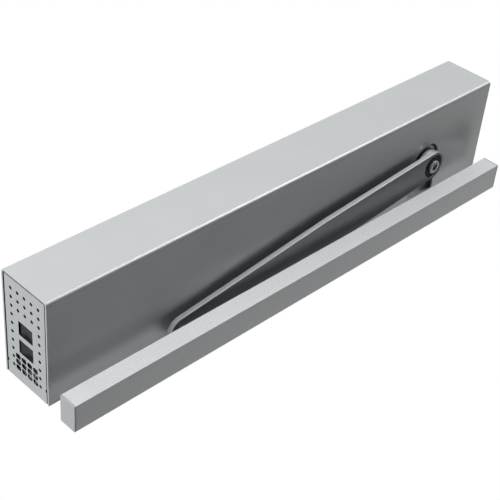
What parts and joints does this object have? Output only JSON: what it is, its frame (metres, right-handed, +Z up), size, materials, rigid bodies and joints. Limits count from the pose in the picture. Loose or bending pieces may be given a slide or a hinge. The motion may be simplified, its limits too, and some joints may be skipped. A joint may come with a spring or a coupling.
{
  "type": "swing door operator",
  "caption": "Slim wall-mounted swing door operator in satin silver with a flat drive arm that runs in a slide rail fixed to the door leaf.",
  "frame": {"origin": "centre of the mounting plate's back face, in the plane of the wall", "axes": "+X along the housing towards the spindle's end, +Y into the wall, +Z up"},
  "size_m": [0.6878, 0.13, 0.114],
  "materials": {
    "cover_metal": "satin silver, clear finish",
    "end_plate_metal": "satin silver paint",
    "plate_metal": "zinc plated sheet, matt",
    "bright_steel": "bright zinc plated",
    "dark_steel": "blackened",
    "gear_steel": "machined, lightly oiled",
    "arm_metal": "satin silver paint",
    "axle_metal": "turned, vertical brush lines",
    "cast_metal": "sand coloured casting skin",
    "gear_brass": "machined",
    "rail_metal": "satin silver, clear finish",
    "rail_cap_metal": "satin silver, clear finish",
    "black_plastic": "fine matt grain",
    "rocker_plastic": "smooth",
    "guide_plastic": "natural",
    "green_plastic": "matt",
    "board": "solder resist",
    "part_plastic": "smooth",
    "capacitor_sleeve": "shrunk sleeve",
    "transformer_tape": "tape wound",
    "black_rubber": "matt",
    "cable_jacket": "smooth jacket",
    "copper_wound": "lacquered wire"
  },
  "bodies": {
    "root": {"base_plate": "plate_metal", "cable_grommet": "black_rubber", "cover_clips": "bright_steel", "end_plate_switches": "end_plate_metal", "end_plate_blank": "end_plate_metal", "end_plate_screws": "bright_steel", "switch_bodies": "black_plastic", "drive_casing": "cast_metal", "drive_casing_lid": "cast_metal", "drive_screws": "dark_steel", "lid_screws": "dark_steel", "spindle_bearings": "bright_steel", "mid_bearings": "bright_steel", "motor_can": "dark_steel", "motor_magnets": "dark_steel", "motor_end_cap": "black_plastic", "motor_screws": "dark_steel", "motor_bearings": "bright_steel", "spring_tube": "gear_steel", "tube_bracket": "plate_metal", "spring_plug": "bright_steel", "closing_spring": "dark_steel", "rack_guide": "guide_plastic", "supply_tray": "plate_metal", "supply_board": "board", "transformer": "transformer_tape", "supply_capacitors": "capacitor_sleeve", "heat_sink": "dark_steel", "terminal_block": "green_plastic", "control_box": "black_plastic", "control_board": "board", "board_connectors": "green_plastic", "board_parts": "part_plastic", "unit_screws": "bright_steel", "motor_cable": "cable_jacket", "supply_cable": "cable_jacket", "switch_cable": "cable_jacket"},
    "arm": {"spindle": "gear_steel", "output_gear": "gear_steel", "spring_pinion": "gear_steel", "spindle_spacer": "gear_steel", "axle_extension": "axle_metal", "drive_arm": "arm_metal", "arm_bolt": "bright_steel", "arm_washer": "dark_steel", "slide_pin": "bright_steel"},
    "intermediate": {"mid_shaft": "gear_steel", "mid_pinion": "gear_steel", "crown_wheel": "gear_brass"},
    "rotor": {"motor_rotor": "copper_wound", "motor_pinion": "gear_brass"},
    "plunger": {"rack_plunger": "gear_steel"},
    "slider": {"slide_block": "black_plastic"},
    "rail": {"slide_rail": "rail_metal", "rail_cap_left": "rail_cap_metal", "rail_cap_right": "rail_cap_metal", "rail_strip": "plate_metal"},
    "program_rocker": {"program_rocker": "rocker_plastic"},
    "mains_rocker": {"mains_rocker": "rocker_plastic"},
    "cover": {"cover": "cover_metal"}
  },
  "joints": [
    {"name": "arm_swing", "type": "hinge", "parent": "root", "child": "arm", "pos_m": [0.23, -0.056, -0.04], "axis": [0, 0, 1], "range_deg": [0, 112], "stiffness_Nm_per_rad": 4, "springref_deg": -85.94},
    {"name": "intermediate_spin", "type": "hinge", "parent": "root", "child": "intermediate", "pos_m": [0.18953, -0.0845, 0], "axis": [0, 0, 1], "range_deg": [-416.1, 0]},
    {"name": "rotor_spin", "type": "hinge", "parent": "root", "child": "rotor", "pos_m": [0.09, -0.0845, 0.0037], "axis": [1, 0, 0], "range_deg": [-1802.8, 0]},
    {"name": "rack_slide", "type": "slide", "parent": "root", "child": "plunger", "axis": [-1, 0, 0], "range_m": [0, 0.0353], "deforming": ["closing_spring"]},
    {"name": "block_pivot", "type": "hinge", "parent": "arm", "child": "slider", "pos_m": [-0.18029, -0.0185, -0.06], "axis": [0, 0, 1], "range_deg": [-22.1, 0]},
    {"name": "rail_slide", "type": "slide", "parent": "slider", "child": "rail", "axis": [-1, 0, 0], "range_m": [-0.13, 0.475]},
    {"name": "program_rocker_tilt", "type": "hinge", "parent": "root", "child": "program_rocker", "pos_m": [-0.3351, -0.0707, 0], "axis": [0, 1, 0], "range_deg": [-8, 8]},
    {"name": "mains_rocker_tilt", "type": "hinge", "parent": "root", "child": "mains_rocker", "pos_m": [-0.3351, -0.0473, 0], "axis": [0, 1, 0], "range_deg": [0, 16]},
    {"name": "cover_slide", "type": "slide", "parent": "root", "child": "cover", "axis": [0, -1, 0], "range_m": [0, 0.15]}
  ],
  "couplings": [
    {"joint": "intermediate_spin", "follows": "arm_swing", "ratio": -3.7143},
    {"joint": "rotor_spin", "follows": "arm_swing", "ratio": -16.095},
    {"joint": "rack_slide", "follows": "arm_swing", "m_per_rad": 0.018},
    {"joint": "block_pivot", "follows": "arm_swing", "ratio": -0.19643}
  ]
}
